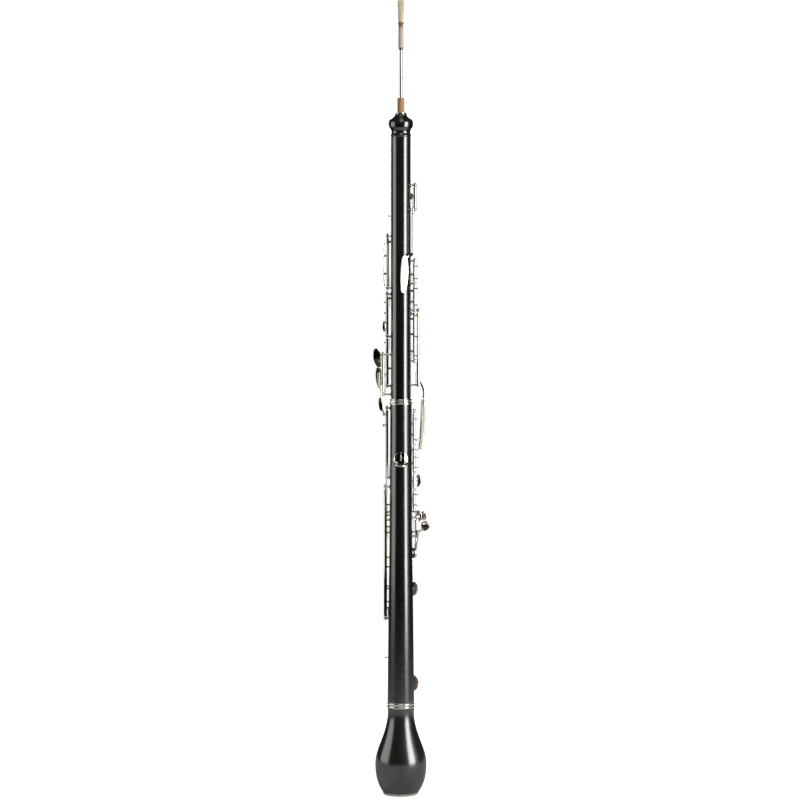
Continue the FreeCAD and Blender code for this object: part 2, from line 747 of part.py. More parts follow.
def cup(angle, z, radius, **more):
    return dict(angle=angle, z=z, radius=radius, **more)


def first_octave_key():
    """Short hinge at the top right, a thin bar down beside the wood, and the thumb touch on the back."""
    key = Key("octave", (691.5, 714.5), [cup(42, 704, 4.3)], stands_open=False, swing=6.0)
    neck = swept_arm([rod_axis("octave", 695.5), polar(-25, 17.2, 694), polar(-26, 15.2, 684)], 1.0, 1.3)
    stem = bar(polar(-26, 15.2, 684), polar(-26, 15.2, 638), 1.1)
    blade = touch(polar(-76, 17.0, 614.5), V(0.05, 0, 1), polar(-66, 1), 44.0, 9.8, 1.9, 220.0)
    crank = swept_arm([polar(-26, 15.2, 638), polar(-52, 18.4, 637), polar(-77, 16.5, 629)], 0.8, 2.0)
    return key.add(neck, stem, blade, crank)


def second_octave_key():
    """Side touch for the left forefinger, with a long bar up the front to the highest vent pad."""
    key = Key("side_octave", (599.6, 655.0), [cup(122, 757, 4.1, bare=True)], stands_open=False, swing=7.0)
    blade = touch(V(-21.4, 1.4, 624.5), UP, V(-1, -0.12, 0), 51.0, 8.5, 1.8, 160.0)
    stays = [swept_arm([rod_axis("side_octave", z), V(-19.5, 7.5, z), V(-21.2, 2.0, z)])
             for z in (614, 635)]
    corner = polar(126, 17.4, 651)
    over = swept_arm([rod_axis("side_octave", 651), polar(139, 18.8, 651), corner])
    top = polar(122, 16.5, 757)
    rise = bar(corner, top, 1.2)
    drop = cylinder(1.4, top, polar(122, 15.2, 757))
    return key.add(blade, *stays, over, rise, drop)


def b_key():
    """Left forefinger plate, with the half-hole spatula below it."""
    key = Key("left_stack", (605.0, 626.5), [cup(85, 613, 6.6, dished=True)])
    spoon = touch(polar(85, 14.6, 604.6), UP, polar(85, 1), 9.6, 7.0, 1.5, 40.0)
    return key.add(spoon).lugs((623.0, 19.0, 1.6), (608.5, 19.0, 1.6))


def a_key():
    key = Key("left_stack", (574.1, 599.9), [cup(85, 581, 7.4, dished=True), cup(85, 593.7, 4.1)])
    return key.lugs((597.0, 19.0, 1.6), (577.5, 19.0, 1.6))


def g_key():
    key = Key("left_stack", (514.6, 568.9),
              [cup(85, 543, 7.8, dished=True), cup(85, 561, 4.4), cup(85, 523, 5.0)])
    return key.lugs((565.5, 17.8, 0.4), (541.0, 17.8, 0.4), (518.5, 17.8, 0.4))


def c_trill_key():
    """Right forefinger trill: the touch hangs beside the lower joint."""
    key = Key("trill", (486.6, 568.9), [cup(48, 567, 3.5, bare=True)], stands_open=False, swing=9.0)
    over = swept_arm([rod_axis("trill", 567), polar(33, 22.0, 567), polar(48, 18.9, 567)], 0.9, 1.2)
    drop = cylinder(1.3, polar(48, 19.4, 567), polar(48, 15.2, 567))
    elbow = V(26.6, 3.9, 467.5)
    crank = swept_arm([rod_axis("trill", 491), V(26.6, 6.2, 489), elbow], 1.0, 1.6)
    blade = touch(V(25.4, 5.6, 439.0), V(0.075, 0, 1), V(0.55, 0.83, 0), 62.0, 6.4, 1.8, 190.0)
    return key.add(over, drop, crank, blade)


def d_trill_key():
    """Left side trill, with a bar up past the forefinger plate."""
    key = Key("side", (543.6, 588.0), [cup(101, 641, 4.1, bare=True)], stands_open=False, swing=8.0)
    corner = polar(119, 16.7, 585)
    over = swept_arm([rod_axis("side", 585), polar(142, 18.3, 585), corner])
    rise = bar(corner, polar(119, 16.7, 641), 1.15)
    across = swept_arm([polar(119, 16.7, 641), polar(110, 17.1, 641), polar(101, 15.9, 641)])
    pearl = touch(V(-19.4, -0.8, 553), UP, V(-1, -0.45, 0), 13.0, 7.5, 1.7, 40.0)
    stay = swept_arm([rod_axis("side", 553), V(-18.6, 2.5, 553), V(-19.2, -0.4, 553)])
    return key.add(over, rise, across, pearl, stay).lugs((581.0, -18.0, -0.2), (568.5, -18.0, -0.2))


def g_sharp_key():
    """Left little finger key with its own touch on the left."""
    key = Key("side", (485.6, 538.4), [cup(114, 503, 5.4)], stands_open=False, swing=8.0)
    blade = touch(V(-25.4, 9.8, 492.0), V(-0.12, 0, 1), V(-0.25, 1, 0), 26.0, 8.6, 1.7, 60.0)
    stay = swept_arm([rod_axis("side", 496), V(-19.0, 9.4, 496), V(-24.6, 9.6, 496)])
    return key.add(blade, stay).lugs((534.0, -18.0, -0.2))


def left_b_lever():
    """Left little finger lever for low B: plate at the top, long arm down past the middle joint."""
    key = Key("pinky", (476.1, 517.4), swing=13.0, pressed_way=1)
    blade = touch(V(-27.4, 3.6, 516.0), V(-0.2, 0, 1), V(-0.2, 1, 0), 23.0, 10.0, 1.7, 60.0)
    stay = swept_arm([rod_axis("pinky", 512), V(-23.5, 3.6, 512), V(-26.4, 3.4, 512)])
    knee = V(-22.8, -3.9, 481)
    shoulder = swept_arm([rod_axis("pinky", 486), V(-22.8, -3.9, 487), knee], 1.0, 1.2)
    tip = V(-19.6, -0.4, 449.5)
    fall = bar(knee, V(-22.6, -3.7, 458), 1.2)
    tail = touch(V(-23.6, -4.4, 462.0), V(-0.15, 0, 1), V(-0.4, -0.9, 0), 16.0, 5.4, 1.5, 60.0)
    return key.add(blade, stay, shoulder, fall, tail, bar(V(-22.6, -3.7, 458), tip, 1.12))


def b_link():
    """Carries the low B lever's movement down the left side of the lower joint."""
    key = Key("b_link", (378.1, 454.4), swing=6.5, pressed_way=-1)
    tab = swept_arm([rod_axis("b_link", 449.5), V(-18.4, 2.9, 449.5), V(-21.2, 2.3, 449.5)], 0.8, 1.6)
    spur = swept_arm([rod_axis("b_link", 437), V(-18.6, 2.4, 437), V(-20.6, 1.2, 437)], 0.8, 1.4)
    stay = swept_arm([rod_axis("b_link", 392), V(-16.4, -1.0, 392), V(-16.6, -3.2, 390)])
    fall = bar(V(-16.6, -3.2, 390), V(-16.6, -3.2, 356), 1.1)
    return key.add(tab, spur, stay, fall)


def f_sharp_key():
    key = Key("right_stack", (415.9, 450.4), [cup(90, 425, 8.0, dished=True), cup(90, 437.6, 3.6)])
    return key.lugs((419.5, 18.6, 4.6), (444.0, 18.0, 4.0))


def e_key():
    key = Key("right_stack", (383.6, 411.1), [cup(90, 391, 8.3, dished=True), cup(90, 406.4, 4.1)])
    return key.lugs((408.0, 18.8, 5.0), (399.0, 18.8, 5.0), (387.0, 18.8, 5.0))


def f_key():
    """Right ring finger side key."""
    key = Key("right_stack", (363.1, 378.4), [cup(64, 370, 4.8)], stands_open=False, swing=9.0)
    blade = touch(V(20.4, 9.6, 371.0), V(0.1, 0, 1), V(0.35, 1, 0), 15.0, 7.0, 1.6, 40.0)
    stay = swept_arm([rod_axis("right_stack", 371), V(17.4, 10.0, 371), V(20.2, 9.6, 371)])
    return key.add(blade, stay)


def d_key():
    key = Key("right_stack", (338.9, 358.1), [cup(90, 348.5, 8.3, dished=True)])
    return key.lugs((355.0, 18.8, 5.0), (342.5, 18.8, 5.0))


def e_flat_key():
    """Right little finger key that opens, with its pad on the right side."""
    key = Key("e_flat", (309.1, 325.9), [cup(24, 286, 6.4, bare=True)], stands_open=False, swing=8.0)
    corner = polar(25, 20.4, 312)
    over = swept_arm([rod_axis("e_flat", 312), polar(17, 21.0, 312), corner])
    fall = bar(corner, polar(27, 18.6, 288), 1.15)
    near = polar(-6, 20.6, 312)
    under = swept_arm([rod_axis("e_flat", 312), polar(1, 20.6, 312), near])
    second_fall = bar(near, polar(14, 18.0, 288.5), 1.0)
    blade = touch(V(21.0, 6.2, 329.5), V(0.06, 0, 1), V(0.25, 1, 0), 14.0, 8.0, 2.2, 16.0)
    stay = swept_arm([rod_axis("e_flat", 322.5), V(19.6, 4.8, 323.5), V(20.8, 5.9, 325.5)])
    return key.add(over, fall, under, second_fall, blade, stay)


def crossing_arm(rod, z, peak, far, end):
    """Arm from a rod on the left, over the front, to a touch on the right."""
    first = swept_arm([rod_axis(rod, z), peak, far], 1.0, 1.3)
    second = swept_arm([far, far + (far - peak) * 0.28, end], 1.0, 1.3)
    return [first, second, ball(1.5, far)]


def c_sharp_key():
    """Open low C sharp key, hinged on the left, with its touch on the right."""
    key = Key("low", (319.6, 340.4), [cup(76, 324.0, 7.0)], swing=6.0)
    arms = crossing_arm("low", 333.2, polar(88, 31.0, 333.2), polar(40, 22.4, 333.2), V(26.6, 9.4, 331.5))
    blade = touch(V(26.8, 8.8, 329.0), V(-0.12, 0, 1), V(0.3, 1, 0), 11.5, 8.4, 2.3, 14.0)
    return key.add(blade, *arms)


def c_key():
    """Open low C key, hinged on the left, with its touch and its pad on the right."""
    key = Key("low", (230.6, 314.4), [cup(36, 242.5, 8.8)], swing=6.0)
    arms = crossing_arm("low", 309.0, polar(88, 31.0, 309.0), polar(40, 22.4, 309.0), V(28.6, 9.4, 314.0))
    blade = touch(V(29.2, 8.8, 317.0), V(0.12, 0, 1), V(0.3, 1, 0), 12.5, 10.6, 2.3, 14.0)
    return key.add(blade, *arms)


def low_b_key():
    """Open low B key: long tube up the left side, long arm down to the lowest pad."""
    key = Key("low_b", (211.6, 361.9), [cup(40, 129.5, 10.2, bare=True)], swing=6.5)
    foot = polar(130, 19.8, 219)
    knee = polar(116, 20.8, 165)
    over = swept_arm([rod_axis("low_b", 220), polar(154, 21.4, 220), foot])
    fall = bar(foot, knee, 1.45)
    end = polar(40, 20.4, 129.5)
    turn_in = swept_arm([knee, polar(102, 25.0, 146), polar(80, 27.5, 136), end], 1.1, 1.6)
    drop = cylinder(1.7, end, polar(40, 19.0, 129.5))
    tab = swept_arm([rod_axis("low_b", 358.5), V(-18.9, -0.5, 358.5), V(-19.4, -4.0, 358.5)], 0.8, 1.6)
    return key.add(over, fall, turn_in, drop, tab)


KEYS = {
    "first_octave_key": first_octave_key,
    "second_octave_key": second_octave_key,
    "b_key": b_key,
    "a_key": a_key,
    "g_key": g_key,
    "c_trill_key": c_trill_key,
    "d_trill_key": d_trill_key,
    "g_sharp_key": g_sharp_key,
    "left_b_lever": left_b_lever,
    "b_link": b_link,
    "f_sharp_key": f_sharp_key,
    "e_key": e_key,
    "f_key": f_key,
    "d_key": d_key,
    "e_flat_key": e_flat_key,
    "c_sharp_key": c_sharp_key,
    "c_key": c_key,
    "low_b_key": low_b_key,
}


# ---- tone holes ----------------------------------------------------------------------------
def bore_r(z):
    top = BODY_TOP - RECEIVER_DEPTH
    middle = MID_JOINT - TENON_LENGTH
    foot = BELL_JOINT - TENON_LENGTH
    if z > middle:
        return BORE_MID_R + (BORE_TOP_R - BORE_MID_R) * (z - middle) / (top - middle)
    return BORE_BELL_R + (BORE_MID_R - BORE_BELL_R) * (z - foot) / (middle - foot)


def chimney(angle, z, radius):
    """Raised seat of a tone hole."""
    seat = wood_r(z) + SEAT_RISE
    outer = radius - 1.1
    foot = math.sqrt(wood_r(z) ** 2 - (outer + 0.35) ** 2) - 0.5
    rise = turned_polygon([(0, foot), (outer + 0.35, foot), (outer + 0.35, seat - 0.8),
                           (outer, seat), (0, seat)])
    return placed(rise, V(0, 0, z), polar(angle, 1), UP)


def tone_hole(angle, z, radius):
    """Hole from the seat down to the bore, with a shallow crater at its mouth."""
    seat = wood_r(z) + SEAT_RISE
    crater = radius - 2.0
    hole = max(0.9, radius * 0.5 - 0.5)
    depth = min(0.9, (crater - hole) * 0.5)
    cut = turned_polygon([(0, bore_r(z) * 0.4), (hole, bore_r(z) * 0.4), (hole, seat - depth),
                          (crater, seat), (crater, seat + 1), (0, seat + 1)])
    return placed(cut, V(0, 0, z), polar(angle, 1), UP)


def drilled(wood, upper, keys):
    """Wood with its tone hole seats, its tone holes, and the seats of its posts."""
    holes = [(item["angle"], item["z"], item["radius"]) for key in keys for item in key.cups
             if (item["z"] > MID_JOINT) == upper]
    seats = [post_seat(angle, z) for angle, _, z, _ in post_list() if (z > MID_JOINT) == upper]
    seats += [pin_seat(RODS[rod][0], z, POST_SHANK_R) for rod, z in GUIDES if (z > MID_JOINT) == upper]
    seats += [pin_seat(angle, z, radius) for angle, z, _, radius in pins(upper)]
    low, high = (MID_JOINT, BODY_TOP - 30) if upper else (BELL_JOINT, MID_JOINT - 25)
    inner = Part.makeCone(bore_r(low), bore_r(high), high - low, V(0, 0, low))
    raised = joined([wood] + [chimney(*hole).cut(inner) for hole in holes])
    drills = [tone_hole(*hole) for hole in holes]
    return raised.cut(Part.makeCompound(seats)).cut(Part.makeCompound(drills))


# ---- thumb rest ----------------------------------------------------------------------------
REST_Z = 398.0
REST_WIDE = 16.8
REST_HIGH = 17.4
REST_IN = 13.0
REST_T = 1.1
REST_SCREWS = [(-112.0, 400.0), (-68.0, 400.0)]
RING_OUT_R = 4.5
RING_IN_R = 3.1
RING_T = 1.8
RING_Y = -18.9
RING_Z = 401.0


def thumb_rest():
    """Plate hugging the back of the lower joint, with the curved shelf that the thumb carries."""
    shell = Part.makeCylinder(REST_IN + REST_T, 40, V(0, 0, REST_Z - 20))
    shell = shell.cut(Part.makeCylinder(REST_IN, 40, V(0, 0, REST_Z - 20)))
    outline = Part.Face(Part.Wire(Part.Ellipse(V(0, 0, 0), REST_HIGH / 2, REST_WIDE / 2).toShape()))
    prism = placed(outline.extrude(V(0, 0, 30)), V(0, 0, REST_Z), V(0, -1, 0), UP)
    plate = shell.common(prism)
    rims = [e for e in plate.Edges if e.Length > 30 and e.BoundBox.YMin < -REST_IN - 0.7]
    plate = plate.makeFillet(0.4, rims)
    curve_r = 10.0
    centre = V(0, -12.0, REST_Z - REST_HIGH / 2 + 1.8 + curve_r)
    outer = Part.makeCylinder(curve_r + 0.9, 14, centre, V(0, -1, 0))
    shelf = outer.cut(Part.makeCylinder(curve_r - 0.9, 14, centre, V(0, -1, 0)))
    plan = Part.Face(Part.Wire(Part.Ellipse(V(0, 0, 0), 10.0, 8.4).toShape())).extrude(V(0, 0, 20))
    plan.rotate(V(0, 0, 0), UP, 90)
    plan.translate(V(0, -14.0, REST_Z - 20))
    shelf = shelf.common(plan).cut(Part.makeCylinder(REST_IN + 0.2, 40, V(0, 0, REST_Z - 20)))
    shelf = shelf.makeFillet(0.7, [e for e in shelf.Edges if e.BoundBox.YMin < -20])
    lug = Part.makeBox(RING_T, 3.2, 5.4, V(-RING_T / 2, -16.8, RING_Z - 2.7))
    lug = lug.cut(ring_blank(RING_OUT_R + 0.02))
    for angle, z in REST_SCREWS:
        plate = plate.cut(Part.makeCone(0.9, 1.7, 1.3, polar(angle, REST_IN - 0.1, z), polar(angle, 1)))
    return plate.fuse([shelf, lug])


def rest_screws():
    """Countersunk screws with slots, from the plate into the wood."""
    made = []
    for angle, z in REST_SCREWS:
        head = Part.makeCone(0.86, 1.58, 1.2, polar(angle, REST_IN - 0.1, z), polar(angle, 1))
        shank = cylinder(0.86, polar(angle, 8.0, z), polar(angle, REST_IN, z))
        slot = Part.makeBox(0.4, 4.0, 1.0, V(-0.2, -2.0, REST_IN + 0.6))
        slot = placed(slot, V(0, 0, z), polar(angle, 1), UP)
        made.append(joined([head, shank]).cut(slot))
    return made


def rest_holes():
    return [cylinder(0.88, polar(angle, 7.9, z), polar(angle, REST_IN + 1, z)) for angle, z in REST_SCREWS]


def ring_blank(radius):
    return cylinder(radius, V(-RING_T / 2, RING_Y, RING_Z), V(RING_T / 2, RING_Y, RING_Z))


def strap_ring():
    """Eye for the neck strap's hook, standing edge-on to the player."""
    eye = ring_blank(RING_OUT_R).cut(cylinder(RING_IN_R, V(-3, RING_Y, RING_Z), V(3, RING_Y, RING_Z)))
    around = 2 * math.pi * RING_OUT_R
    rims = [e for e in eye.Edges if e.BoundBox.XLength < 0.01 and e.Length > around - 1]
    return eye.makeFillet(0.45, rims)


# ---- build ---------------------------------------------------------------------------------
def write(name, shapes):
    whole = Part.makeCompound(shapes) if len(shapes) > 1 else shapes[0]
    whole.exportStep("parts/" + name + ".step")


def build():
    os.makedirs("parts", exist_ok=True)
    keys = {name: make() for name, make in KEYS.items()}
    write("upper_joint", [drilled(upper_joint(), True, keys.values())])
    lower = drilled(lower_joint(), False, keys.values())
    write("lower_joint", [lower.cut(Part.makeCompound(rest_holes()))])
    write("bell", [bell()])
    write("bell_rim_ring", [bell_rim_ring()])
    write("bocal_receiver", [bocal_receiver()])
    rings = [
        # name, outer radius of the wood, outer radius of the ring, joint's height, above it or below
        ("upper_tenon_ring", UPPER_R_BOTTOM, 13.0, MID_JOINT, 1),
        ("middle_socket_ring", LOWER_R_TOP, 13.3, MID_JOINT, -1),
        ("lower_tenon_ring", LOWER_R_BOTTOM, 15.9, BELL_JOINT, 1),
        ("bell_socket_ring", LOWER_R_BOTTOM, 15.9, BELL_JOINT, -1),
    ]
    for name, wood, ring, joint, way in rings:
        low, high = sorted([joint + way * 0.1, joint + way * RING_SEAT])
        write(name, [tenon_ring(wood - RING_WALL + 0.03, ring, low, high)])
    write("middle_tenon_cork", [tenon_cork(MID_TENON_R + 0.02, MID_CORK_R, MID_JOINT + 0.1)])
    write("bell_tenon_cork", [tenon_cork(BELL_TENON_R + 0.02, BELL_CORK_R, BELL_JOINT + 0.1)])
    write("bocal_tube", [bocal_tube()])
    write("bocal_cork", [bocal_cork()])
    write("reed_staple", [reed_staple()])
    write("reed_thread", [reed_thread()])
    write("reed_blades", reed_blades().Solids)
    write("reed_wire", [reed_wire()])
    write("thumb_rest", [thumb_rest()])
    write("thumb_rest_screws", rest_screws())
    write("strap_ring", [strap_ring()])
    for name, upper in (("upper", True), ("lower", False)):
        write("posts_" + name, posts(upper))
        write("springs_" + name, springs(upper))
        rods = [rod for rod in RODS if (RODS[rod][2][0] > MID_JOINT) == upper]
        write("rods_" + name, [hinge_rod(rod) for rod in rods])
    for name, key in keys.items():
        write(name, [key.metal()])
        if key.pads:
            write(name.replace("_key", "") + "_pads", key.pad_solids())


build()
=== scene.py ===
import json
import math
import random

import bmesh
import bpy
import numpy
from mathutils import Matrix, Vector, noise


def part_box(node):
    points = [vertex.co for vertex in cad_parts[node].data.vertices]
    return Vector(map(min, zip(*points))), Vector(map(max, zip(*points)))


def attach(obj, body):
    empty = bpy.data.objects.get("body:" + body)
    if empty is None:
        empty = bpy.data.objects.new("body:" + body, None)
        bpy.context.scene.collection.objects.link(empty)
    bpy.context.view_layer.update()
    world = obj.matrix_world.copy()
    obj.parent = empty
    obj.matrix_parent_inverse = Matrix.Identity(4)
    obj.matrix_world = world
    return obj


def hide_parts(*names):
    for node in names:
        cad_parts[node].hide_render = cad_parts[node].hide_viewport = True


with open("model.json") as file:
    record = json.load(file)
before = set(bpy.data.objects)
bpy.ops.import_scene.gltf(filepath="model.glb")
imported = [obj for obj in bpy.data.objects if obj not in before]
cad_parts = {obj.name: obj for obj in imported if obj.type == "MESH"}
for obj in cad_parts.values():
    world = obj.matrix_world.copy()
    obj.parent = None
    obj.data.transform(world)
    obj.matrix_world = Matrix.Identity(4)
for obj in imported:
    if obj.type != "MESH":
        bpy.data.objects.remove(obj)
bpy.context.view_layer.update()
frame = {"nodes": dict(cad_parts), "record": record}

NODES = frame["nodes"]
ROOT = "body"
random.seed(7)


# ---- node material helpers -------------------------------------------------------------------
class Mat:
    """A node material on the Principled shader, with short helpers for procedural textures."""

    def __init__(self, name, color, metallic=0.0, roughness=0.4, **sockets):
        self.material = bpy.data.materials.new(name)
        self.material.use_nodes = True
        self.tree = self.material.node_tree
        self.shader = self.tree.nodes["Principled BSDF"]
        self.set("Base Color", (*color, 1.0))
        self.set("Metallic", metallic)
        self.set("Roughness", roughness)
        for key, value in sockets.items():
            self.set(key.replace("_", " "), value)
        self.bumps = []

    def set(self, socket, value):
        self.shader.inputs[socket].default_value = value

    def node(self, kind, **values):
        made = self.tree.nodes.new("ShaderNode" + kind)
        for key, value in values.items():
            if hasattr(made, key):
                setattr(made, key, value)
            else:
                made.inputs[key.replace("_", " ")].default_value = value
        return made

    def link(self, a, b):
        self.tree.links.new(a, b)

    def coords(self, scale=(1, 1, 1)):
        """Object coordinates in metres, stretched by scale."""
        where = self.node("TexCoord")
        mapping = self.node("Mapping")
        mapping.inputs["Scale"].default_value = scale
        self.link(where.outputs["Object"], mapping.inputs["Vector"])
        return mapping.outputs["Vector"]

    def noise(self, scale, stretch=(1, 1, 1), detail=6.0, rough=0.55, distortion=0.0):
        made = self.node("TexNoise", Scale=scale, Detail=detail, Roughness=rough,
                         Distortion=distortion)
        self.link(self.coords(stretch), made.inputs["Vector"])
        return made.outputs["Fac"]

    def cells(self, scale, stretch=(1, 1, 1)):
        made = self.node("TexVoronoi", Scale=scale)
        self.link(self.coords(stretch), made.inputs["Vector"])
        return made.outputs["Distance"]

    def ramp(self, fac, stops):
        """Colour ramp from (position, colour) stops. A number stands for a grey."""
        made = self.node("ValToRGB")
        elements = made.color_ramp.elements
        while len(elements) < len(stops):
            elements.new(0.5)
        for element, (place, color) in zip(elements, stops):
            element.position = place
            element.color = (*color, 1) if isinstance(color, tuple) else (color, color, color, 1)
        self.link(fac, made.inputs["Fac"])
        return made.outputs["Color"]

    def mix(self, fac, a, b, blend="MIX"):
        made = self.node("MixRGB", blend_type=blend)
        for socket, value in (("Fac", fac), ("Color1", a), ("Color2", b)):
            if isinstance(value, bpy.types.NodeSocket):
                self.link(value, made.inputs[socket])
            else:
                made.inputs[socket].default_value = value if socket == "Fac" else (*value, 1)
        return made.outputs["Color"]

    def to(self, socket, output):
        self.link(output, self.shader.inputs[socket])

    def bump(self, height, distance, strength=1.0):
        made = self.node("Bump", Distance=distance, Strength=strength)
        self.link(height, made.inputs["Height"])
        if self.bumps:
            self.link(self.bumps[-1].outputs["Normal"], made.inputs["Normal"])
        self.bumps.append(made)
        self.link(made.outputs["Normal"], self.shader.inputs["Normal"])


def blackwood(name, rough_low, rough_high):
    """African blackwood: near black, long fine grain, open pores, an oiled polish."""
    m = Mat(name, (0.006, 0.0055, 0.0055), roughness=0.3, Specular_IOR_Level=1.0, IOR=1.75)
    grain = m.noise(60, (1, 1, 0.035), 8, 0.6, 0.6)
    broad = m.noise(14, (1, 1, 0.12), 4, 0.5)
    pores = m.noise(900, (1, 1, 0.02), 3, 0.6)
    dark = m.ramp(grain, [(0.35, (0.0040, 0.0040, 0.0042)), (0.6, (0.0090, 0.0082, 0.0075)),
                          (0.8, (0.018, 0.014, 0.011))])
    tint = m.ramp(broad, [(0.3, (0.8, 0.82, 0.86)), (0.7, (1.15, 1.05, 1.0))])
    m.to("Base Color", m.mix(1.0, dark, tint, "MULTIPLY"))
    m.to("Roughness", m.ramp(m.noise(35, (1, 1, 0.15), 6), [(0.3, rough_low), (0.75, rough_high)]))
    m.bump(m.ramp(pores, [(0.30, 0.0), (0.42, 1.0)]), 0.00004, 0.35)
    m.bump(grain, 0.00006, 0.12)
    return m.material


def silver_plate(name, warm=0.0, rough=0.05):
    """Polished silver plate with handling marks and a faint warm tarnish in patches."""
    m = Mat(name, (0.86, 0.85, 0.83), 1.0, rough)
    patch = m.noise(90, detail=5)
    base = m.ramp(patch, [(0.30, (0.80 - warm * 0.04, 0.75 - warm * 0.10, 0.67 - warm * 0.2)),
                          (0.55, (0.82, 0.80, 0.76 - warm * 0.06)), (0.8, (0.86, 0.85, 0.835))])
    m.to("Base Color", base)
    smear = m.noise(300, (1, 1, 0.5), 7, 0.65)
    m.to("Roughness", m.ramp(smear, [(0.3, rough * 0.6), (0.62, rough * 1.3), (0.85, rough * 2.6)]))
    m.bump(m.noise(1600, (1, 1, 0.15), 2), 0.000004, 0.15)
    return m.material


def steel(name):
    m = Mat(name, (0.42, 0.43, 0.46), 1.0, 0.22)
    m.to("Base Color", m.ramp(m.noise(240), [(0.35, (0.26, 0.28, 0.34)), (0.7, (0.52, 0.52, 0.54))]))
    m.to("Roughness", m.ramp(m.noise(900, (1, 1, 0.05)), [(0.3, 0.14), (0.8, 0.36)]))
    return m.material


def brass(name):
    m = Mat(name, (0.70, 0.52, 0.24), 1.0, 0.24)
    m.to("Base Color", m.ramp(m.noise(200), [(0.3, (0.16, 0.12, 0.055)), (0.7, (0.34, 0.26, 0.12))]))
    m.to("Roughness", m.ramp(m.noise(600), [(0.3, 0.16), (0.8, 0.42)]))
    return m.material


def cork(name):
    """Pressed bark: warm tan with darker flecks and small pits."""
    m = Mat(name, (0.66, 0.40, 0.20), roughness=0.85, Specular_IOR_Level=0.25)
    flecks = m.cells(1500, (1, 1, 0.7))
    body = m.ramp(m.noise(700, detail=8), [(0.3, (0.46, 0.24, 0.105)), (0.55, (0.66, 0.39, 0.19)),
                                           (0.8, (0.80, 0.53, 0.29))])
    spots = m.ramp(flecks, [(0.10, (0.45, 0.35, 0.28)), (0.30, (1.0, 1.0, 1.0))])
    m.to("Base Color", m.mix(1.0, body, spots, "MULTIPLY"))
    m.to("Roughness", m.ramp(flecks, [(0.1, 0.95), (0.5, 0.7)]))
    m.bump(m.ramp(flecks, [(0.08, 0.0), (0.3, 1.0)]), 0.00012, 0.6)
    m.bump(m.noise(2600, detail=4), 0.00005, 0.5)
    return m.material


def cane(name):
    """Reed cane: pale straw with long fibres, browner where the bark is left on near the thread."""
    m = Mat(name, (0.85, 0.76, 0.52), roughness=0.5, Specular_IOR_Level=0.35, Subsurface_Weight=0.12)
    m.set("Subsurface Radius", (0.004, 0.002, 0.001))
    m.set("Subsurface Scale", 0.2)
    fibre = m.noise(2600, (1, 1, 0.02), 5, 0.6)
    pale = m.ramp(fibre, [(0.3, (0.74, 0.62, 0.40)), (0.55, (0.84, 0.75, 0.55)),
                          (0.8, (0.90, 0.83, 0.66))])
    bark = m.ramp(fibre, [(0.3, (0.38, 0.22, 0.09)), (0.7, (0.58, 0.38, 0.18))])
    where = m.node("TexCoord")
    split = m.node("SeparateXYZ")
    m.link(where.outputs["Object"], split.inputs["Vector"])
    level = m.node("MapRange", From_Min=BARK_ENDS, From_Max=SCRAPE_STARTS, To_Min=0.0, To_Max=1.0)
    m.link(split.outputs["Z"], level.inputs["Value"])
    m.to("Base Color", m.mix(level.outputs["Result"], bark, pale))
    m.bump(fibre, 0.00004, 0.4)
    return m.material


def thread(name):
    m = Mat(name, (0.88, 0.80, 0.70), roughness=0.55, Sheen_Weight=0.3)
    silk = m.ramp(m.noise(1600, detail=4), [(0.3, (0.66, 0.54, 0.45)), (0.7, (0.88, 0.78, 0.70))])
    m.to("Base Color", silk)
    m.bump(m.noise(6000, (1, 1, 0.4), 3), 0.00003, 0.4)
    return m.material


def pad_skin(name):
    """Bladder skin over felt: tan and slightly shiny, with fine wrinkles."""
    m = Mat(name, (0.62, 0.42, 0.22), roughness=0.5, Subsurface_Weight=0.05)
    skin = m.ramp(m.noise(420, detail=7), [(0.3, (0.22, 0.10, 0.045)), (0.6, (0.34, 0.18, 0.08)),
                                           (0.85, (0.46, 0.29, 0.15))])
    m.to("Base Color", skin)
    m.to("Roughness", m.ramp(m.noise(900), [(0.3, 0.35), (0.8, 0.65)]))
    m.bump(m.noise(1500, detail=6, distortion=1.2), 0.00008, 0.5)
    return m.material


BARK_ENDS = 0.9030        # height in metres where the reed's bark starts to give way
SCRAPE_STARTS = 0.9060    # height in metres above which the cane is bare
MATS = {
    "upper_joint": blackwood("blackwood_polished", 0.13, 0.20),
    "lower": blackwood("blackwood_satin", 0.17, 0.26),
    "silver": silver_plate("silver_plate"),
    "silver_warm": silver_plate("silver_plate_worn", 0.6, 0.065),
    "steel": steel("blued_steel"),
    "brass": brass("brass"),
    "cork": cork("cork"),
    "cane": cane("cane"),
    "thread": thread("silk_thread"),
    "pad": pad_skin("pad_skin"),
}
BY_SLOT = {
    "blackwood": "lower",
    "silver_plate": "silver",
    "steel": "steel",
    "brass": "brass",
    "cork": "cork",
    "cane": "cane",
    "thread": "thread",
    "pad": "pad",
}
WORN_KEYS = ("low_b_key", "c_key", "c_sharp_key", "c_trill_key", "left_b_lever")


def paint(obj, key):
    obj.data.materials.clear()
    obj.data.materials.append(MATS[key])


for part in frame["record"]["subparts"]:
    paint(NODES[part["node"]], BY_SLOT[part["material_slot"]])
paint(NODES["upper_joint"], "upper_joint")
for name in WORN_KEYS:
    paint(NODES[name], "silver_warm")

# ---- places read from the frame ----------------------------------------------------------------
MM = 0.001


